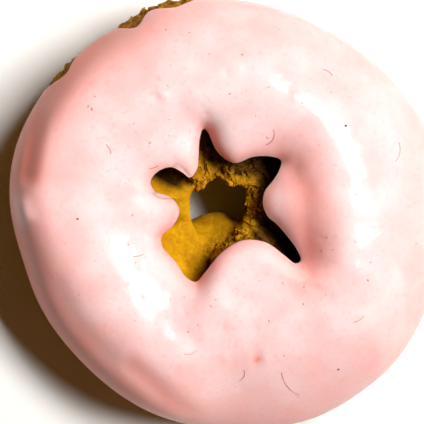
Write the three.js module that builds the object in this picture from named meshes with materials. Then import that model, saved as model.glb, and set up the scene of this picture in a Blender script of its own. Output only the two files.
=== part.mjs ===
// A fried ring doughnut with a poured coat of icing over its upper half.
// Millimetres, +Z up. The ring lies flat on Z = 0, centred on the Z axis, and +Y points away
// from the long crease that runs down to the right of the hole.
import * as THREE from 'three';

// Driving dimensions.
const ringDiameter = 84; // across the iced belt, where the ring is widest
const ringHeight = 29; // from the resting face to the iced crown
const icingThickness = 1.5; // at the crown
const icingGap = 0.3; // between the icing and the dough, so that the two solids stay apart
const throatDiameter = 10.6; // across the waist of the hole, its narrowest place
const lowerLipReach = 4.2; // how far the lip on the -Y side grows into the hole under the waist

// Heights on the section of the ring.
const beltHeight = 0.44 * ringHeight; // the widest place of the outside
const waistHeight = 0.42 * ringHeight; // the narrowest place of the hole
const rimHeight = 0.72 * ringHeight; // where the icing stops inside the hole

// Distances across the ring, as shares of the way from the hole to the belt.
const crownPlace = 0.46;
const restingInnerPlace = 0.32;
const restingOuterPlace = 0.7;

// Places on the section, numbered as it is walked: up the outside, over, and down the hole.
const places = { restingOuter: -1, belt: 0, crown: 1, rim: 2, waist: 3, restingInner: 4 };

// The icing mostly stops a little under the belt, on the way down to the resting face.
const drawnEdgePlace = -0.28;
// Its thickness at its two edges, as a part of that at the crown.
const edgeThinning = 0.6;
// The share of its way across that is rounded off at each edge.
const roundedShare = 0.06;

// How steeply the wall drops from the rim before it swings in to the waist: 1 is a plain slope.
const wallDrop = 2.4;

// How full the rounded quarters of the section are: 2 is an ellipse, more is squarer.
const fullness = 2.1;

// Mesh steps. Columns run round the ring, rows run round its section.
const columnCount = 120;
const columnLean = 0.25;
// From the resting face to the belt, the crown, the rim, the waist and the resting face again.
const doughRowCounts = [5, 6, 7, 5, 5];
const icingRowsOver = 17;
const icingRowsUnder = 17;

const ringRadius = ringDiameter / 2;

// The rim of the hole. The dough swelled into soft lobes as it fried and left a deep crease
// between each two. Each place is a part of the ring's radius, from its centre, anticlockwise.
const rimPlaces = [
  [0.157, 0.036], [0.171, 0.114], // right lobe
  [0.243, 0.224], [0.2, 0.264], [0.11, 0.262], // upper right crease
  [0.029, 0.231], // upper lobe
  [-0.038, 0.3], [-0.105, 0.386], [-0.129, 0.298], // upper crease
  [-0.13, 0.2], [-0.165, 0.172], [-0.21, 0.18], // narrow upper left lobe
  [-0.262, 0.2], [-0.343, 0.162], [-0.333, 0.105], // left crease
  [-0.248, 0.071], [-0.212, 0.007], [-0.243, -0.055], // left lobe
  [-0.305, -0.119], [-0.231, -0.212], [-0.15, -0.305], // wide lower left crease
  [-0.1, -0.257], [-0.029, -0.167],
  [0.071, -0.112], [0.176, -0.129], // lower pillow
  [0.31, -0.224], [0.343, -0.195], [0.276, -0.1], // narrow lower right crease
  [0.21, -0.033],
];

// The hole isn't quite in the middle of the ring.
const holeCentre = new THREE.Vector2(-0.052, 0.03).multiplyScalar(ringRadius);

// Swells of the outline: direction in degrees, height as a part of the radius, spread in degrees.
const outlineSwells = [
  { direction: 158, height: 0.034, spread: 26 },
  { direction: 222, height: -0.036, spread: 24 },
  { direction: 304, height: 0.022, spread: 28 },
  { direction: 52, height: -0.016, spread: 26 },
];

// Pillows and hollows of the crown: centre and spread as parts of the radius, height in mm.
const crownSwells = [
  { place: [0.3, 0.06], spread: 0.13, height: 0.9 }, // right pillow
  { place: [0.45, 0.02], spread: 0.1, height: -1.1 }, // valley behind it
  { place: [0.36, -0.32], spread: 0.12, height: -1.2 }, // valley that leads on from the crease
  { place: [0.12, -0.24], spread: 0.13, height: 0.8 }, // lower pillow
  { place: [0.14, -0.5], spread: 0.11, height: -0.7 }, // dip below it
  { place: [-0.45, 0.35], spread: 0.22, height: 0.5 }, // high upper left side
];

// Where the outer edge of the icing runs higher than usual and bares the belt of the dough.
const shortRuns = [
  { direction: 138, rise: 0.3, spread: 7 },
  { direction: 124, rise: 0.26, spread: 5 },
  { direction: 103, rise: 0.3, spread: 9 },
  { direction: 194, rise: 0.2, spread: 7 },
  { direction: 262, rise: 0.1, spread: 8 },
];

const fullTurn = 2 * Math.PI;

function angleBetween(angle, other) {
  return Math.atan2(Math.sin(angle - other), Math.cos(angle - other));
}

// A bell that is 1 at the centre and fades over the spread.
function bell(distance, spread) {
  return Math.exp(-((distance / spread) ** 2));
}

function outlineRadius(angle) {
  let radius = ringRadius;
  for (const swell of outlineSwells) {
    const away = angleBetween(angle, THREE.MathUtils.degToRad(swell.direction));
    radius += ringRadius * swell.height * bell(away, THREE.MathUtils.degToRad(swell.spread));
  }
  return radius;
}

function crownLift(x, y) {
  let lift = 0;
  for (const swell of crownSwells) {
    const away = Math.hypot(x - swell.place[0] * ringRadius, y - swell.place[1] * ringRadius);
    lift += swell.height * bell(away, swell.spread * ringRadius);
  }
  return lift;
}

// Each column of the mesh joins one point of the rim to one point of the outline. Along the rim
// the columns are evenly spaced. On the outline they are nearly so, but each leans a little
// towards the straight line from the hole's centre.
function makeColumns() {
  const rim = new THREE.CatmullRomCurve3(
    rimPlaces.map(([x, y]) => new THREE.Vector3(x * ringRadius, y * ringRadius, 0)),
    true,
    'centripetal',
  );
  rim.arcLengthDivisions = 4 * columnCount;
  const points = rim.getSpacedPoints(columnCount).slice(0, columnCount);
  const startAngle = Math.atan2(points[0].y - holeCentre.y, points[0].x - holeCentre.x);
  let straightAngle = startAngle;
  const drift = [];
  points.forEach((point, column) => {
    const angle = Math.atan2(point.y - holeCentre.y, point.x - holeCentre.x);
    straightAngle += angleBetween(angle, straightAngle);
    drift.push(straightAngle - (startAngle + (fullTurn * column) / columnCount));
  });
  const meanDrift = drift.reduce((sum, value) => sum + value, 0) / columnCount;
  return points.map((point, column) => {
    const next = points[(column + 1) % columnCount];
    const previous = points[(column + columnCount - 1) % columnCount];
    const along = new THREE.Vector2(next.x - previous.x, next.y - previous.y).normalize();
    const evenAngle = startAngle + (fullTurn * column) / columnCount + meanDrift;
    const angle = evenAngle + columnLean * (drift[column] - meanDrift);
    const direction = new THREE.Vector2(Math.cos(angle), Math.sin(angle));
    const fromHole = new THREE.Vector2(point.x, point.y).sub(holeCentre).normalize();
    return {
      angle,
      direction,
      rim: new THREE.Vector2(point.x, point.y),
      intoDough: new THREE.Vector2(along.y, -along.x),
      fromHole,
      waist: holeCentre.clone().addScaledVector(fromHole, throatDiameter / 2),
      belt: direction.clone().multiplyScalar(outlineRadius(angle)),
    };
  });
}

// A quarter of the section after a share of a quarter turn: how far out and how far up it has come.
function quarter(share) {
  const angle = (share * Math.PI) / 2;
  return {
    out: Math.abs(Math.cos(angle)) ** (2 / fullness),
    up: Math.sin(angle) ** (2 / fullness),
  };
}

// The thickness of the icing at a place of the section. It thins towards the belt and the rim.
function coatThickness(place) {
  const fromCrown = Math.min(Math.abs(place - places.crown), 1);
  return icingThickness * (1 - (1 - edgeThinning) * fromCrown ** 2);
}

// A point of the section at one column, set in from the full iced shape by a distance.
function sectionPoint(column, place, inset) {
  const belt = column.belt.clone().addScaledVector(column.direction, -inset);
  const rim = column.rim.clone().addScaledVector(column.intoDough, inset);
  if (place <= places.belt) {
    const { out, up } = quarter(places.belt - place);
    const across = THREE.MathUtils.lerp(restingOuterPlace, 1, out);
    const inner = rim.lerp(column.waist, places.belt - place);
    const point = inner.lerp(belt, across);
    return new THREE.Vector3(point.x, point.y, beltHeight * (1 - up));
  }
  if (place <= places.rim) {
    const outside = place < places.crown;
    const { out, up } = quarter(outside ? place : places.rim - place);
    const end = outside ? 1 : 0;
    const point = rim.lerp(belt, THREE.MathUtils.lerp(crownPlace, end, out));
    const foot = outside ? beltHeight : rimHeight;
    const crown = ringHeight - inset + crownLift(point.x, point.y);
    return new THREE.Vector3(point.x, point.y, THREE.MathUtils.lerp(foot, crown, up));
  }
  if (place <= places.waist) {
    const share = place - places.rim;
    const point = rim.lerp(column.waist, share ** wallDrop);
    return new THREE.Vector3(point.x, point.y, THREE.MathUtils.lerp(rimHeight, waistHeight, share));
  }
  const share = place - places.waist;
  const { out, up } = quarter(share);
  const resting = column.waist.clone().lerp(column.belt, restingInnerPlace);
  const point = resting.lerp(column.waist, out);
  const facingAway = Math.max(-column.fromHole.y, 0) ** 2;
  point.y += lowerLipReach * facingAway * Math.sin(share * Math.PI);
  return new THREE.Vector3(point.x, point.y, waistHeight * (1 - up));
}

// The rows of the dough: places from the resting face up over the crown and down through the hole.
function makeDoughRows() {
  const rows = [];
  doughRowCounts.forEach((count, stretch) => {
    for (let step = 0; step < count; step += 1) {
      rows.push(places.restingOuter + stretch + step / count);
    }
  });
  rows.push(places.restingInner);
  return rows;
}

function doughLoop(column) {
  return makeDoughRows().map((place) => (
    sectionPoint(column, place, icingGap + coatThickness(place))
  ));
}

// The place where the icing stops outside, at one column.
function outerEdgePlace(angle) {
  let place = drawnEdgePlace;
  for (const run of shortRuns) {
    const away = angleBetween(angle, THREE.MathUtils.degToRad(run.direction));
    place += run.rise * bell(away, THREE.MathUtils.degToRad(run.spread));
  }
  return place;
}

// How much of the coat is rounded away at a share of the way across it.
function edgeRounding(share) {
  const fromEdge = Math.min(share, 1 - share) / roundedShare;
  return fromEdge < 1 ? 1 - Math.sqrt(1 - (1 - fromEdge) ** 2) : 0;
}

function icingLoop(column) {
  const edge = outerEdgePlace(column.angle);
  const over = [];
  for (let step = 0; step <= icingRowsOver; step += 1) {
    const share = (1 - Math.cos((step * Math.PI) / icingRowsOver)) / 2;
    const place = THREE.MathUtils.lerp(edge, places.rim, share);
    over.push(sectionPoint(column, place, edgeRounding(share) * coatThickness(place)));
  }
  const under = [];
  for (let step = icingRowsUnder - 1; step > 0; step -= 1) {
    const place = THREE.MathUtils.lerp(edge, places.rim, step / icingRowsUnder);
    under.push(sectionPoint(column, place, coatThickness(place)));
  }
  return [...over, ...under];
}

// A closed skin from loops of points, one loop per column, joined all the way round.
function closedSkin(loops) {
  const rowCount = loops[0].length;
  const positions = [];
  const triangles = [];
  loops.forEach((loop, column) => {
    const nextColumn = (column + 1) % loops.length;
    loop.forEach((point, row) => {
      const nextRow = (row + 1) % rowCount;
      const here = column * rowCount + row;
      const along = nextColumn * rowCount + row;
      const up = column * rowCount + nextRow;
      const opposite = nextColumn * rowCount + nextRow;
      positions.push(point.x, point.y, point.z);
      triangles.push(here, along, opposite, here, opposite, up);
    });
  });
  const geometry = new THREE.BufferGeometry();
  geometry.setAttribute('position', new THREE.Float32BufferAttribute(positions, 3));
  geometry.setIndex(triangles);
  geometry.computeVertexNormals();
  return geometry;
}

function addMesh(group, name, geometry, look) {
  const mesh = new THREE.Mesh(geometry, new THREE.MeshStandardMaterial(look));
  mesh.name = name;
  group.add(mesh);
}

const columns = makeColumns();
const doughGeometry = closedSkin(columns.map(doughLoop));
const icingGeometry = closedSkin(columns.map(icingLoop));

// The swells of the outline pull it off centre, so the finished ring is brought back.
doughGeometry.computeBoundingBox();
icingGeometry.computeBoundingBox();
const box = doughGeometry.boundingBox.clone().union(icingGeometry.boundingBox);
const centre = box.getCenter(new THREE.Vector3());
for (const geometry of [doughGeometry, icingGeometry]) {
  geometry.translate(-centre.x, -centre.y, -box.min.z);
}

const doughnut = new THREE.Group();
doughnut.name = 'ring_doughnut';
// Golden fried crust, dry and dull.
addMesh(doughnut, 'dough_ring', doughGeometry, { color: '#c98a2e', roughness: 0.8, metalness: 0 });
// Pale pink glaze, set but still shiny.
addMesh(doughnut, 'icing', icingGeometry, { color: '#f6c9c6', roughness: 0.25, metalness: 0 });

export default doughnut;
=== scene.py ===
# %% [markdown]
# # An iced ring doughnut
# This notebook builds the looks of one fried cake doughnut over its plain solid model. The real
# thing is two pieces: a ring of dough that swelled unevenly in the hot fat, and a coat of pink
# icing that was poured over its top half. Both are modelled here in the order a baker makes them:
# the shape of the hole, the ring, then the coat, and last their finishes, the light and the camera.

import math
import random

import bpy
import numpy as np
from mathutils import Euler, Matrix, Vector, noise


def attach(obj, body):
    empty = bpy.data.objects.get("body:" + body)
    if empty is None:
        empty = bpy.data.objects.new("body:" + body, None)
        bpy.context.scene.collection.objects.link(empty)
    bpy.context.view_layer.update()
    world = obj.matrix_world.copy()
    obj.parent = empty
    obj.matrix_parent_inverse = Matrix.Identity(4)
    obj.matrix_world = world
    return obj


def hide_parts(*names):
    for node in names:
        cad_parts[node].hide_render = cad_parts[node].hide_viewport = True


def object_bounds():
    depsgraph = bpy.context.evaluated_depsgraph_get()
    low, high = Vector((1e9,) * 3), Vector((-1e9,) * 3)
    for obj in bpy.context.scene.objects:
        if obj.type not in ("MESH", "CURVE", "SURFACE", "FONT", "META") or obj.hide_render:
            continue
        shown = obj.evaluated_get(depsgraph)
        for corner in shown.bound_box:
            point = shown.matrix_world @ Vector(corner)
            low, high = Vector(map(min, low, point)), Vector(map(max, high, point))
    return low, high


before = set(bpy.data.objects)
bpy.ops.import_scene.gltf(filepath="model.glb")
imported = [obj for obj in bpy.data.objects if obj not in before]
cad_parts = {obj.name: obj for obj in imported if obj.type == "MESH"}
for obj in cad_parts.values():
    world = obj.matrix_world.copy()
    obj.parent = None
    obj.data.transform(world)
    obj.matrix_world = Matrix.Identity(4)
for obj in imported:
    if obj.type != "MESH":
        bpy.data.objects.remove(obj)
cad_low, cad_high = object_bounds()

MM = 0.001
ring_radius = (cad_high.x - cad_low.x + cad_high.y - cad_low.y) / 4
ring_height = cad_high.z - cad_low.z
print("ring radius and height in mm:", ring_radius / MM, ring_height / MM)

# %% [markdown]
# ## The shape of the hole
# A cutter leaves a round hole, but the dough swells into it as it fries. Here it closed to five soft
# lobes with a deep crease between each two, so seen from above the rim is a crooked star. The
# rim is drawn as one smooth closed line through the lobes and the ends of the creases. Each place
# is a share of the ring's radius from its centre, so the star grows and shrinks with the ring.

# %% Places on the rim
RIM_PLACES = [
    (0.131, 0.060), (0.138, 0.122),  # right lobe
    (0.176, 0.172), (0.205, 0.222), (0.211, 0.262), (0.160, 0.279), (0.084, 0.276),  # upper right crease
    (0.003, 0.247),  # upper lobe
    (-0.060, 0.283), (-0.092, 0.330), (-0.113, 0.382), (-0.135, 0.405),  # narrow upper crease
    (-0.151, 0.362), (-0.157, 0.286), (-0.164, 0.222),
    (-0.196, 0.184), (-0.228, 0.207),  # narrow upper left lobe
    (-0.280, 0.234), (-0.340, 0.214), (-0.372, 0.169), (-0.350, 0.126),  # left crease
    (-0.278, 0.099), (-0.241, 0.042), (-0.264, -0.024),  # left lobe
    (-0.321, -0.081), (-0.316, -0.128), (-0.257, -0.195),  # wide lower left crease
    (-0.212, -0.262), (-0.169, -0.283), (-0.136, -0.247), (-0.064, -0.152),
    (0.036, -0.090), (0.141, -0.100),  # lower pillow
    (0.226, -0.161), (0.278, -0.201), (0.304, -0.190), (0.287, -0.142),  # narrow lower right crease
    (0.241, -0.080), (0.188, -0.022), (0.155, 0.005),
]
# The ends of the creases. Mesh columns there run straight out from the hole's centre.
CREASE_ENDS = [
    (0.211, 0.262), (-0.135, 0.405), (-0.372, 0.169),
    (-0.321, -0.105), (-0.169, -0.283), (0.300, -0.198),
]
HOLE_CENTRE = np.array((-0.059, 0.035)) * ring_radius

# %% Smooth line through places
STEPS_BETWEEN = 40


def slide(start, end, moment, first, last):
    """The place reached at a moment on the way from start to end."""
    return start + (end - start) * (moment - first) / (last - first)


def smooth_loop(places, count):
    """A closed line through the places, smooth at each, as evenly spaced points."""
    knots = np.array(places)
    line = []
    for index in range(len(knots)):
        before, start, end, after = (knots[(index + step - 1) % len(knots)] for step in range(4))
        moments = [0.0]
        for near, far in ((before, start), (start, end), (end, after)):
            moments.append(moments[-1] + np.linalg.norm(far - near) ** 0.5)
        first, second, third, last = moments
        for moment in np.linspace(second, third, STEPS_BETWEEN, endpoint=False):
            early = slide(before, start, moment, first, second)
            middle = slide(start, end, moment, second, third)
            late = slide(end, after, moment, third, last)
            early = slide(early, middle, moment, first, third)
            late = slide(middle, late, moment, second, last)
            line.append(slide(early, late, moment, second, third))
    line.append(line[0])
    line = np.array(line)
    lengths = np.concatenate([[0], np.cumsum(np.linalg.norm(np.diff(line, axis=0), axis=1))])
    even = np.linspace(0, lengths[-1], count, endpoint=False)
    return np.stack([np.interp(even, lengths, line[:, axis]) for axis in range(2)], axis=1)


# %% Rim of the hole
COLUMNS = 240
rim = smooth_loop(RIM_PLACES, COLUMNS) * ring_radius
# The direction along the rim at each point, and the one that points into the dough.
along_rim = np.roll(rim, -2, axis=0) - np.roll(rim, 2, axis=0)
along_rim /= np.linalg.norm(along_rim, axis=1)[:, None]
into_dough = np.stack([along_rim[:, 1], -along_rim[:, 0]], axis=1)
print("rim drawn with", len(rim), "points")

# %% [markdown]
# ## Columns of the mesh
# Both pieces are rings, so both start from a torus. Its columns run round the ring and its rows run
# round the section. Each column is pulled so that it joins one point of the star to one point of
# the outline. The outline is nearly a circle, with a few slow swells where the dough ran wider.

# %% Outline
OUTLINE_SWELLS = [  # direction in degrees, height as a share of the radius, spread in degrees
    (108, 0.030, 12),
    (135, 0.016, 12),
    (160, 0.036, 22),
    (192, -0.018, 12),
    (222, -0.036, 26),
    (297, 0.034, 18),
    (335, 0.018, 16),
    (318, 0.022, 12),
    (60, -0.030, 22),
]


def fading(distance, spread):
    """1 where the distance is 0, fading softly to 0 over the spread."""
    return np.exp(-((distance / spread) ** 2))


def angle_between(angle, other):
    """The turn from one direction to another, the short way round."""
    return np.arctan2(np.sin(angle - other), np.cos(angle - other))


def outline_radius(angle):
    """How far the outline is from the ring's centre in each direction."""
    radius = np.full_like(angle, ring_radius)
    for direction, height, spread in OUTLINE_SWELLS:
        away = angle_between(angle, math.radians(direction))
        radius += ring_radius * height * fading(away, math.radians(spread))
    return radius


# %% Columns
def column_angles():
    """The direction of each column: straight out at the crease ends, evenly spread between."""
    ends = np.array(CREASE_ENDS) * ring_radius
    nearest = [int(np.argmin(np.linalg.norm(rim - end, axis=1))) for end in ends]
    end_angles = np.unwrap([math.atan2(*(end - HOLE_CENTRE)[::-1]) for end in ends])
    first = nearest[0]
    index = np.arange(COLUMNS)
    index = np.where(index < first, index + COLUMNS, index)
    known = nearest + [first + COLUMNS]
    found = np.interp(index, known, list(end_angles) + [end_angles[0] + 2 * math.pi])
    return np.where(index >= COLUMNS, found - 2 * math.pi, found)


def smooth_round(values, width):
    """Each value averaged with its neighbours round the ring."""
    weights = fading(np.arange(-3 * width, 3 * width + 1), width)
    weights /= weights.sum()
    padded = np.concatenate([values[-3 * width:], values, values[: 3 * width]])
    return np.convolve(padded, weights, mode="valid")


turn = np.linspace(0, 2 * math.pi, COLUMNS, endpoint=False)
angles = turn + smooth_round(column_angles() - turn, COLUMNS // 60)
outward = np.stack([np.cos(angles), np.sin(angles)], axis=1)
belt = outward * outline_radius(angles)[:, None]
print("smallest step between columns in degrees:", math.degrees(np.diff(angles).min()))

# %% [markdown]
# ## The swollen shape
# From above, the dough looks like a soft cushion: it is highest along the middle and rolls down
# to the rim and to the outline. How high a point is depends on how far it is from both. The cushion
# isn't even, so each direction has its own numbers, joined up smoothly round the ring.

# %% Rolls and heights by direction
BELT_HEIGHT = 0.44 * ring_height
WAIST_HEIGHT = 0.60 * ring_height
# How the top rolls down on each side of the crown, by direction in degrees: how far it rolls
# inwards and outwards as shares of the radius, how high the rim and the crown lie as shares of the
# height, and how full both curves are (1 is a straight slope, 2 a quarter of an ellipse).
SECTORS = [
    (9, 0.22, 0.54, 0.755, 0.985, 1.4, 1.75),
    (48, 0.27, 0.43, 0.82, 0.985, 1.6, 1.75),
    (92, 0.17, 0.42, 0.76, 0.985, 2.0, 2.0),
    (143, 0.38, 0.18, 0.88, 0.98, 1.3, 2.2),
    (178, 0.38, 0.19, 0.84, 0.965, 1.3, 2.2),
    (194, 0.34, 0.25, 0.775, 0.955, 1.5, 2.1),
    (212, 0.33, 0.36, 0.73, 0.945, 1.7, 2.1),
    (235, 0.38, 0.34, 0.73, 0.92, 1.7, 2.1),
    (250, 0.30, 0.36, 0.76, 0.92, 1.8, 2.1),
    (266, 0.08, 0.62, 0.84, 0.915, 2.0, 1.4),
    (300, 0.06, 0.52, 0.86, 0.915, 2.0, 1.5),
    (312, 0.08, 0.42, 0.85, 0.93, 2.0, 1.9),
    (322, 0.15, 0.42, 0.82, 0.95, 1.8, 2.0),
    (332, 0.21, 0.48, 0.76, 0.97, 1.5, 1.8),
    (345, 0.22, 0.52, 0.755, 0.985, 1.4, 1.75),
]
sector_directions, *sector_values = zip(*SECTORS)


def round_the_ring(values):
    """The sectors' values joined up and smoothed to one value per mesh column."""
    found = np.interp(np.degrees(angles), sector_directions, values, period=360)
    return smooth_round(found, COLUMNS // 40)


shares = [round_the_ring(values) for values in sector_values]
roll_in, roll_out = (share * ring_radius for share in shares[:2])
rim_height, crown_height = (share * ring_height for share in shares[2:4])
full_in, full_out = shares[4:]
print("crown heights in mm:", crown_height.min() / MM, "to", crown_height.max() / MM)
print("rim heights in mm:", rim_height.min() / MM, "to", rim_height.max() / MM)

# %% [markdown]
# A plain distance to the rim would leave a sharp ridge along each lobe, so the distance is a soft
# one: every bit of the rim counts, the near ones most. Folds and dents are then pressed in with
# soft strokes, as a sculptor presses with a thumb, and slow ripples keep the skin from being too
# even. Where a fold is deep, the coat lies thin on the dough and the fold falls into shade, so some
# strokes also tint the glaze warmer beside them: a thin coat and painted shade together. Sculpting
# by hand would do the same, but it couldn't be repeated.

# %% Strokes
KNOB = [(-0.955, 0.07), (-0.94, 0.02)]
# Each stroke: the line it follows, how far it lifts the skin (or presses it, below 0) and how wide
# it is, both in mm, then how wide the warmer glaze beside it is, in mm, and how strong. That warmer
# glaze is a thin coat and painted shade in the fold together.
STROKES = [
    ([(0.22, 0.26), (0.28, 0.24)], -0.2, 1.5, 4.5, 0.6),
    (
        [(0.27, 0.21), (0.31, 0.14), (0.32, 0.03), (0.33, -0.08), (0.34, -0.17), (0.32, -0.24)],
        -0.45, 1.7, 4.5, 0.6,
    ),
    ([(0.25, -0.34), (0.12, -0.39), (0.00, -0.36)], -0.4, 2.2, 0, 0),
    (
        [(-0.59, 0.81), (-0.75, 0.645), (-0.87, 0.515), (-0.90, 0.37), (-0.93, 0.20)],
        -1.7, 1.5, 3.6, 1.0,
    ),
    (KNOB, 1.5, 1.5, 0, 0),
    ([(-0.26, -0.50), (-0.18, -0.55)], -0.7, 1.6, 0, 0),
    ([(0.52, -0.22), (0.56, -0.24)], 0.25, 1.7, 0, 0),
    ([(-0.47, -0.66), (-0.39, -0.73), (-0.30, -0.82), (-0.20, -0.90)], -0.8, 2.0, 3.4, 0.6),
    ([(-0.80, -0.30), (-0.70, -0.48), (-0.55, -0.64)], -0.5, 1.8, 0, 0),
    ([(0.104, -0.634), (0.108, -0.638)], -0.6, 0.8, 0.8, 1.0),
    ([(-0.03, 0.70), (-0.01, 0.71)], 0.14, 2.0, 0, 0),
]
RIPPLES = [(9.0, 0.28), (4.2, 0.11)]  # how long and how high the ripples of the top are, in mm


def stroke_depth(points, places, width):
    """1 along a line through the places, fading to 0 over the width on both sides."""
    line = np.array(places) * ring_radius
    nearest = np.full(len(points), np.inf)
    for start, end in zip(line[:-1], line[1:]):
        along = end - start
        share = np.clip(((points - start) @ along) / (along @ along), 0, 1)
        away = np.linalg.norm(points - start - share[:, None] * along, axis=1)
        nearest = np.minimum(nearest, away)
    return fading(nearest, width)


# %% Height of the top
RIM_SOFTNESS = 0.6 * MM
BATCH = 4000  # points measured at a time, to save memory


def soft_distance(points):
    """The distance from each point in plan to the rim, smoothed so that lobes stay round."""
    spacing = np.linalg.norm(rim[1] - rim[0])
    nearness = np.empty(len(points))
    for start in range(0, len(points), BATCH):
        part = points[start : start + BATCH]
        squared = ((part[:, None, :] - rim[None, :, :]) ** 2).sum(axis=2) + RIM_SOFTNESS**2
        nearness[start : start + BATCH] = (squared**-1.5).sum(axis=1)
    return np.maximum((nearness * spacing / 2) ** -0.5 - RIM_SOFTNESS, 0)


def rounded(share, fullness):
    """Rises from 0 to 1 like a quarter of an ellipse, more or less full."""
    left = np.clip(1 - share, 0, 1)
    return (1 - left**fullness) ** (1 / fullness)


def top_height(points, from_outline):
    """The height of the iced top at points in plan, one for each column."""
    inner = rounded(soft_distance(points) / roll_in, full_in)
    outer = rounded(from_outline / roll_out, full_out)
    height = crown_height - (crown_height - rim_height) * (1 - inner)
    height -= (crown_height - BELT_HEIGHT) * (1 - outer)
    for line, lift, width, _, _ in STROKES:
        height += lift * MM * stroke_depth(points, line, width * MM) * outer
    for length, lift in RIPPLES:
        waves = [noise.noise(Vector((x, y, 0)) / (length * MM)) for x, y in points]
        height += lift * MM * np.array(waves) * outer
    return height


rim_top = top_height(rim, np.linalg.norm(belt - rim, axis=1))[:, None]
print("top of the rim in mm:", rim_top.min() / MM, "to", rim_top.max() / MM)

# %% [markdown]
# ## The throat and its wall
# Under the rim the hole narrows to a throat, where the crumb tore as it swelled. The wall falls
# nearly straight down in the creases and slopes to the throat under the lobes. One curve does
# both, because its fullness follows how far out the rim is.

# %% Throat
# Half the width of the throat in mm, by direction in degrees.
THROAT = [
    (16, 5.7), (40, 6.7), (52, 5.7), (63, 4.6), (84, 5.9), (94, 6.3), (110, 5.3), (133, 4.9),
    (147, 5.9), (174, 5.5), (207, 5.6), (244, 6.4), (267, 6.6), (300, 6.1), (311, 5.4), (340, 5.4),
]
LOBE_REACH = 0.192
CREASE_REACH = 0.352
SLOPING = 1.3
STEEP = 4.5


def read_table(table, directions):
    """The values of a table of directions in degrees and values, at other directions."""
    known, values = zip(*table)
    return np.interp(directions, known, values, period=360)


from_hole = rim - HOLE_CENTRE
reach = np.linalg.norm(from_hole, axis=1)
from_hole /= reach[:, None]
hole_directions = np.degrees(np.arctan2(from_hole[:, 1], from_hole[:, 0]))
waist = HOLE_CENTRE + from_hole * read_table(THROAT, hole_directions)[:, None] * MM
wall_fullness = np.interp(reach / ring_radius, (LOBE_REACH, CREASE_REACH), (SLOPING, STEEP))[:, None]
print("throat half width in mm:", min(t[1] for t in THROAT), "to", max(t[1] for t in THROAT))

# %% [markdown]
# ## Walking the section
# A place on the section is a number: -1 at the outer edge of the resting face, 0 at the belt, 1 at
# the crown, 2 at the rim, 3 at the waist of the hole and 4 back on the resting face. One function
# turns a place into points, one for each column, set in from the iced skin by a depth.

# %% Section
CORNER_FULLNESS = 2.1
CROWN_PLACE = 0.46  # where the crown lies on the way from the rim to the belt
RESTING_INNER = 0.32  # where the resting face starts on the way from the waist to the belt
RESTING_OUTER = 0.70  # and where it ends
LIP_REACH = 8.0 * MM  # how far the lower lip stands into the hole


def mix(start, end, share):
    """The value a share of the way from start to end."""
    return start + (end - start) * share


def quarter(share, fullness=CORNER_FULLNESS):
    """How far out and how far up a rounded corner has come after a share of a quarter turn."""
    angle = share * math.pi / 2
    return np.abs(np.cos(angle)) ** (2 / fullness), np.abs(np.sin(angle)) ** (2 / fullness)


def section_points(place, depth):
    """Points of the section at one place or one place per column, a depth below the iced skin."""
    place = np.broadcast_to(place, (COLUMNS,))[:, None].astype(float)
    depth = np.broadcast_to(depth, (COLUMNS,))[:, None]
    deep_belt = belt - outward * depth
    deep_rim = rim + into_dough * depth
    # Up the outside, from the resting face to the belt.
    below_belt = np.clip(-place, 0, 1)
    out, up = quarter(below_belt)
    below_plan = mix(mix(deep_rim, waist, below_belt), deep_belt, mix(RESTING_OUTER, 1, out))
    below_height = BELT_HEIGHT * (1 - up)
    # Over the top, from the belt to the crown to the rim.
    from_edge = np.clip(np.where(place < 1, place, 2 - place), 0, 1)
    out, up = quarter(from_edge)
    across = mix(CROWN_PLACE, np.where(place < 1, 1.0, 0.0), out)
    over_plan = mix(deep_rim, deep_belt, across)
    skin_plan = mix(rim, belt, across)
    from_outline = np.linalg.norm(belt - skin_plan, axis=1)
    over_height = top_height(skin_plan, from_outline)[:, None] - depth * up
    # Down the wall, from the rim to the waist.
    out, down = quarter(np.clip(place - 2, 0, 1), wall_fullness)
    wall_plan = mix(waist, deep_rim, out)
    wall_height = mix(rim_top, WAIST_HEIGHT, down)
    # Under the hole, from the waist to the resting face, with the lip on its lower side.
    below_waist = np.clip(place - 3, 0, 1)
    out, up = quarter(below_waist)
    under_plan = mix(mix(waist, belt, RESTING_INNER), waist, out)
    lip_side = np.maximum(-from_hole[:, 1:], 0) ** 3
    under_plan = under_plan + np.array((0, 1)) * LIP_REACH * lip_side * np.sin(below_waist * math.pi)
    under_height = WAIST_HEIGHT * (1 - up)
    stretches = [place <= 0, place <= 2, place <= 3]
    plan = np.select(stretches, [below_plan, over_plan, wall_plan], under_plan)
    height = np.select(stretches, [below_height, over_height, wall_height], under_height)
    return np.concatenate([plan, height], axis=1)


# %% [markdown]
# ## From a torus to the ring
# The torus operator gives a closed, evenly woven mesh with nothing to mend: no poles and no seams.
# Its size doesn't matter much, because every vertex then moves to its own place on the section.
# The vertices come column by column, and in each column row by row, starting at the belt. A
# Subdivision Surface modifier then doubles the rows and columns and rounds what is between them.

# %% Ring helpers
def vertex_vectors(piece, kind):
    """The places ("co") or the directions ("normal") of a piece's vertices, one row each."""
    found = np.empty(len(piece.data.vertices) * 3, dtype=np.float32)
    piece.data.vertices.foreach_get(kind, found)
    return found.reshape(-1, 3).astype(float)


def move_vertices(piece, points):
    """Puts the vertices of a piece at the points."""
    piece.data.vertices.foreach_set("co", points.astype(np.float32).ravel())
    piece.data.update()


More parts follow.
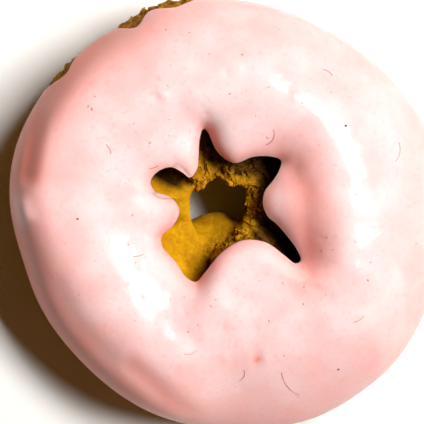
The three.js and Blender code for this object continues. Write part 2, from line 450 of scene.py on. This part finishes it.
def add_ring(name, loops):
    """A torus whose rows are moved to the given loops of points, one loop per row."""
    bpy.ops.object.select_all(action="DESELECT")
    bpy.ops.mesh.primitive_torus_add(
        major_segments=COLUMNS,
        minor_segments=len(loops),
        major_radius=ring_radius * 0.6,
        minor_radius=ring_height / 2,
    )
    ring = bpy.context.active_object
    ring.name = name
    ring.data.name = name
    move_vertices(ring, np.stack(loops, axis=1).reshape(-1, 3))
    bpy.ops.object.shade_smooth()
    smoother = ring.modifiers.new("smoother", "SUBSURF")
    smoother.levels = smoother.render_levels = 1
    bpy.ops.object.modifier_apply(modifier=smoother.name)
    return ring


# %% [markdown]
# ## The dough
# The dough fills everything under the icing. Most rows go where it shows: round the belt, down the
# wall of the hole and under it. Under the coat it lies a little above the coat's inner side, so that
# no gap shows at the icing's edge.

# %% Dough ring
COAT = 1.5 * MM
DOUGH_DEPTH = 0.9  # how deep the dough lies under the iced skin, as a share of the coat
# Stretches between places of the section, and how many rows each of them gets.
DOUGH_STOPS = [0, 0.3, 1.6, 2, 3, 4]
DOUGH_ROWS = [5, 6, 5, 26, 14]
OUTSIDE_ROWS = 17


def coat_thickness(place):
    """The icing is thickest on the crown and thins towards its edges."""
    return COAT * (1 - 0.4 * np.clip(np.abs(np.asarray(place) - 1), 0, 1) ** 2)


dough_places = []
for start, end, count in zip(DOUGH_STOPS[:-1], DOUGH_STOPS[1:], DOUGH_ROWS):
    dough_places.extend(np.linspace(start, end, count, endpoint=False))
dough_places.append(DOUGH_STOPS[-1])
dough_places.extend(np.linspace(-1, 0, OUTSIDE_ROWS, endpoint=False))
dough_loops = [section_points(place, coat_thickness(place) * DOUGH_DEPTH) for place in dough_places]
dough = add_ring("dough_ring_skin", dough_loops)
print("dough has", len(dough.data.polygons), "faces")

# %% [markdown]
# ## Torn crumb
# Where the dough split as it swelled, the throat is ringed by a ragged collar of crumb. It also
# swelled out past the icing outside, where the coat's edge runs short. A Displace modifier would
# push along the normal only, so each vertex there is moved in code by three sizes of noise, which
# push sideways too. The far side of the hole stretched instead, so it stays smooth.

# %% Where the crumb is torn
COLLAR_HEIGHT = WAIST_HEIGHT + 1.5 * MM
COLLAR_SPREAD = 3.0 * MM
COLLAR_REACH = 0.3 * ring_radius
# How torn the collar is, by direction in degrees.
TORN_SIDES = [(-75, 1), (-60, 1), (130, 1), (150, 0.25), (190, 0.1), (240, 0.25)]
SHORT_RUNS = [  # direction in degrees, how far the icing's edge rises in places, spread in degrees
    (140, 0.54, 8),
    (117, 0.50, 5),
    (105, 0.52, 8),
    (194, 0.22, 7),
    (262, 0.10, 8),
]
BARE_RISE = 0.4  # the rise of the edge at which the crumb is fully bare
BARE_HEIGHT = BELT_HEIGHT + 1.0 * MM
BARE_SPREAD = 4.0 * MM


def short_runs(directions):
    """How far the icing's edge rises at each direction, in places of the section."""
    rise = np.zeros_like(directions)
    for direction, height, spread in SHORT_RUNS:
        away = angle_between(directions, math.radians(direction))
        rise += height * fading(away, math.radians(spread))
    return rise


points = vertex_vectors(dough, "co")
from_axis = points[:, :2] - HOLE_CENTRE
away_from_hole = np.linalg.norm(from_axis, axis=1)
dough_directions = np.degrees(np.arctan2(from_axis[:, 1], from_axis[:, 0]))
torn = fading(points[:, 2] - COLLAR_HEIGHT, COLLAR_SPREAD)
torn *= (away_from_hole < COLLAR_REACH) * read_table(TORN_SIDES, dough_directions)
around = np.arctan2(points[:, 1], points[:, 0])
bare = np.clip(short_runs(around) / BARE_RISE, 0, 1) * (away_from_hole > 0.5 * ring_radius)
bare *= fading(points[:, 2] - BARE_HEIGHT, BARE_SPREAD)
crumbly = torn + bare
print("torn vertices:", int((crumbly > 0.5).sum()))

# %% Torn crumb
CRUMB_GRAIN = 1.3 * MM
CRUMB_DEPTH = 0.9 * MM
BARE_SWELL = 0.5 * MM
CRUMB_SEED = 2
noise.seed_set(CRUMB_SEED)  # without a seed the vector noise changes from run to run


def crumb_push(point):
    """A push with a random direction, from three sizes of noise."""
    place = Vector(point) / CRUMB_GRAIN
    return sum((noise.noise_vector(place * 2.5**size) * 0.6**size for size in range(3)), Vector())


pushes = np.array([crumb_push(point) for point in points]) * CRUMB_DEPTH * crumbly[:, None]
swelling = vertex_vectors(dough, "normal") * BARE_SWELL * bare[:, None]
move_vertices(dough, points + pushes + swelling)
print("crumb moves up to mm:", np.linalg.norm(pushes + swelling, axis=1).max() / MM)

# %% [markdown]
# ## The icing
# The coat is a closed shell: over the outside from its outer edge to the rim, round the lip, and
# back along the dough. Its outer edge wanders as poured sugar does, and where it stops short the
# dough shows. Rows crowd together at both edges, where the coat turns over.

# %% Icing
EDGE_PLACE = -0.25
EDGE_WAVES = [(2.5, 0.16), (7.0, 0.08), (20.0, 0.02)]  # how close and how high its waves are
EDGE_LAYER = 0.3  # where the noise is read, above the plane of the ring
ROUNDED_SHARE = 0.05
OVER_ROWS = 58
UNDER_ROWS = 20

edge_place = EDGE_PLACE + short_runs(angles)
for closeness, swing in EDGE_WAVES:
    edge_place += swing * np.array([noise.noise(Vector((*way, EDGE_LAYER)) * closeness) for way in outward])


def edge_rounding(share):
    """How deep the skin lies near an edge of the coat, as a share of its thickness."""
    from_edge = min(share, 1 - share) / ROUNDED_SHARE
    return 1 - math.sqrt(1 - (1 - from_edge) ** 2) if from_edge < 1 else 0.0


icing_loops = []
for step in range(OVER_ROWS + 1):
    share = (1 - math.cos(math.pi * step / OVER_ROWS)) / 2
    place = mix(edge_place, 2.0, share)
    icing_loops.append(section_points(place, edge_rounding(share) * coat_thickness(place)))
for step in range(UNDER_ROWS - 1, 0, -1):
    place = mix(edge_place, 2.0, step / UNDER_ROWS)
    icing_loops.append(section_points(place, coat_thickness(place)))
icing = add_ring("icing_coat", icing_loops)
print("icing has", len(icing.data.polygons), "faces")

# %% [markdown]
# ## Pits and bubbles
# Close up, icing isn't clean. Bubbles burst at its skin and leave small pits, and a few dried as
# they rose. Both are moves of the mesh and not bump, so that they catch the light as real ones do.

# %% Pits and bubbles
PIT_COUNT = 34
PIT_WIDTHS = (0.6, 0.95)
PIT_DEPTHS = (0.10, 0.22)  # as shares of the width
BUBBLES = [(-0.321, 0.552), (0.265, 0.561), (-0.039, -0.625), (0.143, -0.625)]
BUBBLE_WIDTH = 0.8 * MM
BUBBLE_LIFT = 0.35 * BUBBLE_WIDTH
dice = random.Random(7)


def top_place():
    """A random place on the iced top, away from its edges, in plan."""
    column = dice.randrange(COLUMNS)
    return mix(rim[column], belt[column], dice.uniform(0.12, 0.86))


def drop_on(piece, place):
    """The point and the upward direction of a piece's skin right under a place in plan."""
    hit, point, normal, _ = piece.ray_cast(Vector((*place, 2 * ring_height)), Vector((0, 0, -1)))
    return (point, normal) if hit else (Vector((*place, 0)), Vector((0, 0, 1)))


def soft_spot(points, place, width):
    """1 on the icing's skin at a place, fading to 0 over the width."""
    centre, _ = drop_on(icing, place)
    return fading(np.linalg.norm(points - np.array(centre), axis=1), width)


points = vertex_vectors(icing, "co")
faces_up = vertex_vectors(icing, "normal")[:, 2] > 0.3
for _ in range(PIT_COUNT):
    place = top_place()
    width = dice.uniform(*PIT_WIDTHS) * MM
    points[:, 2] -= soft_spot(points, place, width) * faces_up * width * dice.uniform(*PIT_DEPTHS)
for place in BUBBLES:
    points[:, 2] += soft_spot(points, np.array(place) * ring_radius, BUBBLE_WIDTH) * faces_up * BUBBLE_LIFT
move_vertices(icing, points)
print("pits pressed in:", PIT_COUNT, "and bubbles raised:", len(BUBBLES))

# %% [markdown]
# ## Flecks
# Crumbs of the crust and specks of fruit skin stick in the icing. Each is a round ball pressed flat,
# stretched a little and laid along the skin, half sunk in it. There are many, so each has few faces.

# %% Flecks
FRUIT_FLECKS = 70
FRUIT_FLECK_SIZES = (0.08, 0.18)
DARK_FLECKS = [(0.493, 0.420), (0.100, 0.010), (-0.700, 0.010), (0.480, -0.690)]
DARK_FLECK_SIZE = 0.22 * MM
FLECK_STRETCH = (0.8, 2.2)
FLECK_FLATNESS = 0.4


def add_fleck(place, size):
    """A flat lump half sunk in the icing."""
    centre, upward = drop_on(icing, place)
    bpy.ops.object.select_all(action="DESELECT")
    bpy.ops.mesh.primitive_ico_sphere_add(subdivisions=2, radius=size, location=centre)
    fleck = bpy.context.active_object
    fleck.scale = (dice.uniform(*FLECK_STRETCH), 1.0, FLECK_FLATNESS)
    facing_up = upward.to_track_quat("Z", "Y")
    spin = Euler((0, 0, dice.uniform(0, math.pi))).to_quaternion()
    fleck.rotation_euler = (facing_up @ spin).to_euler()
    bpy.ops.object.transform_apply(location=True, rotation=True, scale=True)
    bpy.ops.object.shade_smooth()
    return fleck


def join_pieces(pieces, name):
    """Several objects joined into one named piece."""
    bpy.ops.object.select_all(action="DESELECT")
    for piece in pieces:
        piece.select_set(True)
    bpy.context.view_layer.objects.active = pieces[0]
    bpy.ops.object.join()
    joined = bpy.context.active_object
    joined.name = name
    joined.data.name = name
    return joined


dark_flecks = [add_fleck(np.array(place) * ring_radius, DARK_FLECK_SIZE) for place in DARK_FLECKS]
crumb_flecks = join_pieces(dark_flecks, "crumb_flecks")
fruit_flecks = [add_fleck(top_place(), dice.uniform(*FRUIT_FLECK_SIZES) * MM) for _ in range(FRUIT_FLECKS)]
print("flecks on the icing:", len(fruit_flecks) + len(DARK_FLECKS))

# %% [markdown]
# ## Fibres
# Thin fibres of the fruit lie in arcs on the icing. No operator lays a line over a skin, so each
# fibre is a curve through points dropped onto the icing, with a round bevel and closed ends, and
# the convert operator then makes it a mesh.

# %% Fibres
FIBRES = [  # middle as shares of the radius, length in mm, direction and total bend in degrees
    (0.165, 0.365, 3.6, 70, 100),
    (0.045, -0.715, 2.6, 75, 90),
    (0.255, -0.765, 6.4, -50, 55),
    (-0.430, -0.160, 2.2, 10, 30),
    (-0.360, 0.235, 1.8, 20, 25),
    (0.745, 0.300, 4.0, 80, 70),
    (0.560, -0.450, 2.4, 35, 60),
    (-0.560, 0.320, 2.0, 120, 40),
    (0.420, 0.660, 2.2, 150, 60),
    (-0.200, -0.600, 2.4, 15, 80),
]
FIBRE_STEPS = 12
FIBRE_THICKNESS = 0.18 * MM


def fibre_trail(length, direction, bend):
    """The points of an arc in plan, with their middle at the centre."""
    start = math.radians(direction - bend / 2)
    trail = [np.zeros(2)]
    for step in range(FIBRE_STEPS):
        angle = start + math.radians(bend) * step / FIBRE_STEPS
        onward = np.array((math.cos(angle), math.sin(angle)))
        trail.append(trail[-1] + onward * length * MM / FIBRE_STEPS)
    middle = sum(trail) / len(trail)
    return [point - middle for point in trail]


def add_fibre(x, y, length, direction, bend):
    """A thin tube that lies in an arc on the icing."""
    curve = bpy.data.curves.new("fibre", "CURVE")
    curve.dimensions = "3D"
    curve.bevel_depth = FIBRE_THICKNESS / 2
    curve.bevel_resolution = 1
    curve.use_fill_caps = True
    line = curve.splines.new("POLY")
    line.points.add(FIBRE_STEPS)
    place = np.array((x, y)) * ring_radius
    for point, offset in zip(line.points, fibre_trail(length, direction, bend)):
        point.co = (*drop_on(icing, place + offset)[0], 1)
    fibre = bpy.data.objects.new("fibre", curve)
    bpy.context.scene.collection.objects.link(fibre)
    bpy.ops.object.select_all(action="DESELECT")
    fibre.select_set(True)
    bpy.context.view_layer.objects.active = fibre
    bpy.ops.object.convert(target="MESH")
    return bpy.context.active_object


fibres = [add_fibre(*fibre) for fibre in FIBRES]
fruit_bits = join_pieces(fruit_flecks + fibres, "fruit_bits")
print("fruit bits have", len(fruit_bits.data.polygons), "faces")

# %% [markdown]
# ## Finishes
# Each finish is a small tree of nodes. A colour is written as in a paint chart, then made linear.
# Patterns read the object's own coordinates in metres, so their scale comes from a real size. What
# depends on the shape, such as painted shade in a fold, is painted on the vertices as a number from
# 0 to 1.

# %% Material helpers
# Sockets of a Mix node that mixes colours: the share, both colours and what comes out.
SHARE, FIRST, SECOND, MIXED = 0, 6, 7, 2


def linear(hex_colour):
    """An sRGB hex colour as linear red, green, blue and alpha."""
    parts = [int(hex_colour[start : start + 2], 16) / 255 for start in (1, 3, 5)]
    return [part / 12.92 if part <= 0.04045 else ((part + 0.055) / 1.055) ** 2.4 for part in parts] + [1.0]


def new_material(name):
    """A material that uses nodes, and its shader."""
    material = bpy.data.materials.new(name)
    material.use_nodes = True
    return material, material.node_tree.nodes["Principled BSDF"]


def add_node(material, kind, inputs, output=0, **settings):
    """A node with its settings; each input is a value or the socket that feeds it."""
    node = material.node_tree.nodes.new(kind)
    for setting, value in settings.items():
        setattr(node, setting, value)
    for socket, value in inputs.items():
        if isinstance(value, bpy.types.NodeSocket):
            material.node_tree.links.new(value, node.inputs[socket])
        else:
            node.inputs[socket].default_value = value
    return node.outputs[output]


def patches(material, grain, low, high, strength=1.0):
    """Soft patches about one grain across, from 0 to the strength between two levels of noise."""
    place = add_node(material, "ShaderNodeTexCoord", {}, output="Object")
    value = add_node(material, "ShaderNodeTexNoise", {"Vector": place, "Scale": 1 / grain, "Detail": 3})
    levels = {"Value": value, "From Min": low, "From Max": high, "To Max": strength}
    return add_node(material, "ShaderNodeMapRange", levels)


def paint(piece, name, values):
    """Paints a number from 0 to 1 on every vertex of a piece, for its material to read."""
    layer = piece.data.attributes.new(name, "FLOAT", "POINT")
    layer.data.foreach_set("value", np.clip(values, 0, 1).astype(np.float32))
    print("painted", name, "up to", round(float(np.max(values)), 2))


# %% [markdown]
# ### Sugar glaze
# The icing is poured sugar set to a hard gloss. Light goes in a little way and comes back pink, and
# the skin mirrors the lamp in long streaks along the crown. Near its edges the coat is thin, so the
# dough warms its colour. In its folds and on the side away from the lamp, shade is painted in the
# same warmer pink. Where it turns over it has dried duller.

# %% Where the coat is thin or dull, and where shade is painted
# How much painted shade the side gets by direction in degrees: the left side, away from the lamp, most.
SHADED_SIDES = [(-120, 1), (-90, 0.35), (90, 0), (125, 1)]
SIDE_SPREAD = 6.0 * MM
ROLLING_SPREAD = 12 * MM
RIM_WARM_SPREAD = 1.3 * MM
RIM_DULL_SPREAD = 2.4 * MM
KNOB_SPREAD = 2.2 * MM
RUN_DOWN = 5.0 * MM  # how far below the belt the coat has fully thinned

points = vertex_vectors(icing, "co")
around = np.arctan2(points[:, 1], points[:, 0])
from_outline = outline_radius(around) - np.linalg.norm(points[:, :2], axis=1)
near_shaded_side = fading(from_outline, SIDE_SPREAD) * read_table(SHADED_SIDES, np.degrees(around))
rolling_off = 0.26 * fading(from_outline, ROLLING_SPREAD)
from_rim = soft_distance(points[:, :2])
near_rim = 0.5 * fading(from_rim, RIM_WARM_SPREAD)
low_down = np.clip((BELT_HEIGHT - points[:, 2]) / RUN_DOWN, 0, 1)
fold_shade = [
    shade_strength * stroke_depth(points[:, :2], line, spread * MM)
    for line, _, _, spread, shade_strength in STROKES
    if shade_strength
]
on_knob = stroke_depth(points[:, :2], KNOB, KNOB_SPREAD)
# The warmer colour stands for a thin coat near the rim, near the outline and below the belt, and for
# painted shade in the folds and on the side away from the lamp.
thin_coat_and_shade = np.max([near_rim, 0.62 * near_shaded_side + rolling_off, low_down, *fold_shade], axis=0)
# The painted shade is lifted on the knob, so that the knob looks lit.
paint(icing, "warm_tint_and_painted_shade", 0.9 * thin_coat_and_shade * (1 - 0.7 * on_knob))
paint(icing, "dull", np.max([fading(from_rim, RIM_DULL_SPREAD), 0.4 * near_shaded_side, low_down], axis=0))

# %% Glaze
CLOUD_SIZE = 7 * MM
MOTTLE_SIZE = 0.9 * MM  # sugar grains are finer; drawn this coarse so that they show
DRYING_WAVES = 1.6 * MM

glaze, shader = new_material("set_sugar_glaze")
clouds = patches(glaze, CLOUD_SIZE, 0.35, 0.65)
colours = {SHARE: clouds, FIRST: linear("#FFD6D5"), SECOND: linear("#FFC7C5")}
cloudy = add_node(glaze, "ShaderNodeMix", colours, MIXED, data_type="RGBA")
mottle = patches(glaze, MOTTLE_SIZE, 0.56, 0.74, 0.45)
colours = {SHARE: mottle, FIRST: cloudy, SECOND: linear("#F9B3AA")}
mottled = add_node(glaze, "ShaderNodeMix", colours, MIXED, data_type="RGBA")
warm_tint_and_painted_shade = add_node(glaze, "ShaderNodeAttribute", {}, "Fac", attribute_name="warm_tint_and_painted_shade")
# The warmer pink is a thin coat over the dough and painted shade together.
colours = {SHARE: warm_tint_and_painted_shade, FIRST: mottled, SECOND: linear("#FF8874")}
tinted = add_node(glaze, "ShaderNodeMix", colours, MIXED, data_type="RGBA")
glaze.node_tree.links.new(tinted, shader.inputs["Base Color"])
dull = add_node(glaze, "ShaderNodeAttribute", {}, "Fac", attribute_name="dull")
levels = {"Value": dull, "From Max": 0.6, "To Min": 0.16, "To Max": 0.6}
roughness = add_node(glaze, "ShaderNodeMapRange", levels)
glaze.node_tree.links.new(roughness, shader.inputs["Roughness"])
waves = patches(glaze, DRYING_WAVES, 0.2, 0.8)
bump = add_node(glaze, "ShaderNodeBump", {"Height": waves, "Strength": 0.5, "Distance": 0.05 * MM})
glaze.node_tree.links.new(bump, shader.inputs["Normal"])
shader.inputs["Specular IOR Level"].default_value = 0.26
shader.inputs["Subsurface Weight"].default_value = 0.5
shader.inputs["Subsurface Radius"].default_value = (1.0, 0.35, 0.3)
shader.inputs["Subsurface Scale"].default_value = 2.0 * MM
icing.data.materials.append(glaze)
print("glaze has", len(glaze.node_tree.nodes), "nodes")

# %% [markdown]
# ### Fried crust
# The crust is cake dough fried in fat, so it is dry and matt with a fine grain. It is golden in the
# hole, where it stretched last, and brown outside. Shade is painted into the creases and pockets of
# the hole as a near-black brown. Torn crumb is rougher, with patches from dark brown to pale gold.

# %% Where shade is painted on the crust
# How much shade is painted in the hole by direction: the stretched wall at the lower left faces the lamp
# and stays golden.
HOLE_SHADE = [
    (0, 1), (95, 1), (105, 0.4), (125, 0.4), (143, 0.9), (150, 0.9), (157, 0.2), (170, 0),
    (248, 0), (260, 0.9), (330, 1),
]
points = vertex_vectors(dough, "co")
from_axis = points[:, :2] - HOLE_CENTRE
away_from_hole = np.linalg.norm(from_axis, axis=1)
dough_directions = np.degrees(np.arctan2(from_axis[:, 1], from_axis[:, 0]))
outside = np.clip((away_from_hole - 0.45 * ring_radius) / (0.2 * ring_radius), 0, 1)
throat = read_table(THROAT, dough_directions) * MM
behind_collar = np.clip((away_from_hole - throat - 1.4 * MM) / (2.6 * MM), 0, 1)
low_in_hole = 0.3 * np.clip(1 - points[:, 2] / WAIST_HEIGHT, 0, 1)
# Painted shade: darker in the pockets behind the collar and lower down in the hole, least on the wall that
# faces the lamp, and none outside.
pocket_shade = (behind_collar + 0.25) * read_table(HOLE_SHADE, dough_directions) + low_in_hole
pocket_shade = np.clip(pocket_shade, 0, 1) * (1 - outside)
MOST_CRUMB = 0.8
paint(dough, "outside", outside)
paint(dough, "pocket_shade", pocket_shade)
paint(dough, "crumbly", MOST_CRUMB * np.clip(crumbly, 0, 1) * (1 - 0.8 * pocket_shade))

# %% Crust
GOLDEN_PATCHES = 3 * MM
FRIED_PATCHES = 5 * MM
BLISTER_SIZE = 0.8 * MM
CRUMB_PATCHES = 1.3 * MM
CRUST_GRAIN = 0.5 * MM

crust, shader = new_material("fried_cake_crust")
golden_share = patches(crust, GOLDEN_PATCHES, 0.35, 0.7)
colours = {SHARE: golden_share, FIRST: linear("#C79300"), SECOND: linear("#AE7400")}
golden = add_node(crust, "ShaderNodeMix", colours, MIXED, data_type="RGBA")
fried_share = patches(crust, FRIED_PATCHES, 0.3, 0.7)
colours = {SHARE: fried_share, FIRST: linear("#BF761F"), SECOND: linear("#6C370E")}
fried = add_node(crust, "ShaderNodeMix", colours, MIXED, data_type="RGBA")
outside_share = add_node(crust, "ShaderNodeAttribute", {}, "Fac", attribute_name="outside")
colours = {SHARE: outside_share, FIRST: golden, SECOND: fried}
skin = add_node(crust, "ShaderNodeMix", colours, MIXED, data_type="RGBA")
blisters = patches(crust, BLISTER_SIZE, 0.5, 0.7, 0.35)
colours = {SHARE: blisters, FIRST: skin, SECOND: linear("#E6AC20")}
blistered = add_node(crust, "ShaderNodeMix", colours, MIXED, data_type="RGBA")
# Painted shade: the near-black brown darkens the creases and pockets of the hole.
pocket_shade_share = add_node(crust, "ShaderNodeAttribute", {}, "Fac", attribute_name="pocket_shade")
colours = {SHARE: pocket_shade_share, FIRST: blistered, SECOND: linear("#2A1102")}
baked = add_node(crust, "ShaderNodeMix", colours, MIXED, data_type="RGBA")
crumb_tone_patches = patches(crust, CRUMB_PATCHES, 0.35, 0.65)
colours = {SHARE: crumb_tone_patches, FIRST: linear("#7C4507"), SECOND: linear("#D79C18")}
crumb_tone = add_node(crust, "ShaderNodeMix", colours, MIXED, data_type="RGBA")
crumb_share = add_node(crust, "ShaderNodeAttribute", {}, "Fac", attribute_name="crumbly")
colours = {SHARE: crumb_share, FIRST: baked, SECOND: crumb_tone}
torn_tone = add_node(crust, "ShaderNodeMix", colours, MIXED, data_type="RGBA")
crust.node_tree.links.new(torn_tone, shader.inputs["Base Color"])
grain = patches(crust, CRUST_GRAIN, 0.2, 0.8)
levels = {"Value": crumb_share, "From Max": MOST_CRUMB, "To Min": 0.3}
roughening = add_node(crust, "ShaderNodeMapRange", levels)
heights = {"Height": grain, "Strength": roughening, "Distance": 0.35 * MM}
bump = add_node(crust, "ShaderNodeBump", heights)
crust.node_tree.links.new(bump, shader.inputs["Normal"])
shader.inputs["Roughness"].default_value = 0.85
shader.inputs["Specular IOR Level"].default_value = 0.1
dough.data.materials.append(crust)
print("crust has", len(crust.node_tree.nodes), "nodes")

# %% [markdown]
# ### Flecks and fibres
# Both are bits of the kitchen. Browned crumbs are dry and dark, so they read as sharp dots. Red
# skin of the fruit that colours the icing is softer, with a faint shine. Each varies from bit to bit.

# %% Fleck and fibre finishes
SKIN_PATCHES = 4 * MM
CRUMB_DOT_PATCHES = 6 * MM

browned_crumb, shader = new_material("browned_crumb")
tones = patches(browned_crumb, CRUMB_DOT_PATCHES, 0.4, 0.6)
colours = {SHARE: tones, FIRST: linear("#5A2418"), SECOND: linear("#8A4A30")}
crumb_colour = add_node(browned_crumb, "ShaderNodeMix", colours, MIXED, data_type="RGBA")
browned_crumb.node_tree.links.new(crumb_colour, shader.inputs["Base Color"])
shader.inputs["Roughness"].default_value = 0.6
crumb_flecks.data.materials.append(browned_crumb)

fruit_skin, shader = new_material("red_fruit_skin")
tones = patches(fruit_skin, SKIN_PATCHES, 0.4, 0.6)
colours = {SHARE: tones, FIRST: linear("#D07C70"), SECOND: linear("#E8A598")}
fruit_colour = add_node(fruit_skin, "ShaderNodeMix", colours, MIXED, data_type="RGBA")
fruit_skin.node_tree.links.new(fruit_colour, shader.inputs["Base Color"])
shader.inputs["Roughness"].default_value = 0.4
fruit_bits.data.materials.append(fruit_skin)
print("materials made:", glaze.name, crust.name, browned_crumb.name, fruit_skin.name)

# %% [markdown]
# ## Joining the frame
# Each piece rides on the body it belongs to and stands for a node of the solid model. Nothing on a
# doughnut moves, so all of them ride on the one body.

# %% Registration
for piece, node, slot in (
    (dough, "dough_ring", "dough"),
    (icing, "icing", "icing"),
    (crumb_flecks, "icing", "icing"),
    (fruit_bits, "icing", "icing"),
):
    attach(piece, "root")
    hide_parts(node)
    print(piece.name, "stands for", node)

# %% [markdown]
# ## Plate, lamp and camera
# The doughnut lies on a plain white plate. One long softbox stands high on the right and gives the
# streaks in the glaze and a soft shadow on the left. A weak warm world light fills that shadow with
# what a room would bounce back. The camera looks nearly straight down through a long lens.

# %% Plate
FLOOR_GAP = 0.05 * MM
bpy.ops.object.select_all(action="DESELECT")
bpy.ops.mesh.primitive_plane_add(size=2.0, location=(0, 0, -FLOOR_GAP))
floor = bpy.context.active_object
floor.name = "plate_floor"
white, shader = new_material("white_glazed_plate")
shader.inputs["Base Color"].default_value = linear("#F4F2EE")
shader.inputs["Roughness"].default_value = 0.5
floor.data.materials.append(white)

# %% Lamp and world
LAMP_AZIMUTH = 27
LAMP_ELEVATION = 59
LAMP_DISTANCE = 0.8
LAMP_POWER = 9.9
ROOM_STRENGTH = 0.04


def direction_vector(azimuth, elevation):
    """The direction with these angles in degrees, from the ring's centre."""
    turned = math.radians(azimuth)
    raised = math.radians(elevation)
    flat = math.cos(raised)
    return Vector((math.cos(turned) * flat, math.sin(turned) * flat, math.sin(raised)))


softbox = bpy.data.lights.new("key_softbox", "AREA")
softbox.shape = "RECTANGLE"
softbox.size = 0.44
softbox.size_y = 0.18
softbox.energy = LAMP_POWER
lamp = bpy.data.objects.new("key_softbox", softbox)
bpy.context.scene.collection.objects.link(lamp)
lamp.location = direction_vector(LAMP_AZIMUTH, LAMP_ELEVATION) * LAMP_DISTANCE
lamp.rotation_euler = (-lamp.location).to_track_quat("-Z", "Y").to_euler()

world = bpy.data.worlds.new("studio")
world.use_nodes = True
world.node_tree.nodes["Background"].inputs["Color"].default_value = linear("#FFD640")
world.node_tree.nodes["Background"].inputs["Strength"].default_value = ROOM_STRENGTH
bpy.context.scene.world = world
bpy.context.scene.view_settings.view_transform = "Standard"

# %% Camera
FRAME_WIDTH = 83.0 * MM  # how much of the doughnut the view takes in
LENS = 105
SENSOR = 24
AIM = Vector((-3.45 * MM, 0.67 * MM, BELT_HEIGHT))

camera_data = bpy.data.cameras.new("camera")
camera_data.lens = LENS
camera_data.sensor_width = SENSOR
camera = bpy.data.objects.new("camera", camera_data)
bpy.context.scene.collection.objects.link(camera)
view_from = direction_vector(135, 85)
camera.location = AIM + view_from * FRAME_WIDTH * LENS / SENSOR
side = Vector((0, 1, 0)).cross(view_from).normalized()
camera.rotation_euler = Matrix((side, view_from.cross(side), view_from)).transposed().to_euler()
bpy.context.scene.camera = camera
print("camera stands at mm:", [round(value / MM) for value in camera.location])
